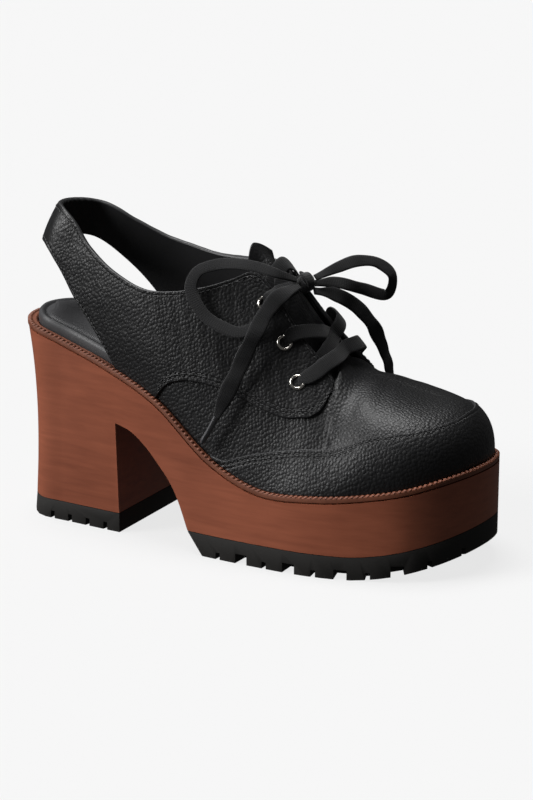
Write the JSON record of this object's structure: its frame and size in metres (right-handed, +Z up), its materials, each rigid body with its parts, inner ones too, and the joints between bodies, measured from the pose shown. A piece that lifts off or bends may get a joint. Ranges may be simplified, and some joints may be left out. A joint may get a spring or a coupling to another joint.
{
  "type": "platform clog",
  "caption": "Women's lace-up platform clog with an open sling back, a hollow leather upper, a padded insole, a wooden platform and block heel, and lugged rubber treads.",
  "frame": {"origin": "bottom centre of the shoe's box without the free lace, on the floor plane", "axes": "+X to the toe, +Y to the inner side, +Z up"},
  "size_m": [0.236, 0.1016, 0.1511],
  "materials": {
    "wood": "satin stained",
    "welt": "satin, knurled",
    "rubber": "matte",
    "insole": "soft satin",
    "leather": "pebbled, semi-gloss",
    "metal": "polished nickel",
    "lace": "woven cotton",
    "aglet": "smoky clear"
  },
  "bodies": {
    "root": {"eyelet_bottom_inner": "metal", "eyelet_bottom_outer": "metal", "eyelet_middle_inner": "metal", "eyelet_middle_outer": "metal", "eyelet_top_inner": "metal", "eyelet_top_outer": "metal", "forefoot_tread": "rubber", "heel_tread": "rubber", "insole": "insole", "lace_crossing_lower": "lace", "lace_crossing_upper": "lace", "lace_end_inner": "lace", "lace_end_outer": "lace", "lace_knot": "lace", "lace_lead_inner": "lace", "lace_lead_outer": "lace", "lace_loop_inner": "lace", "lace_loop_outer": "lace", "lace_tip_inner": "aglet", "lace_tip_outer": "aglet", "tongue": "leather", "upper": "leather", "welt": "welt", "wooden_sole": "wood"}
  },
  "joints": []
}
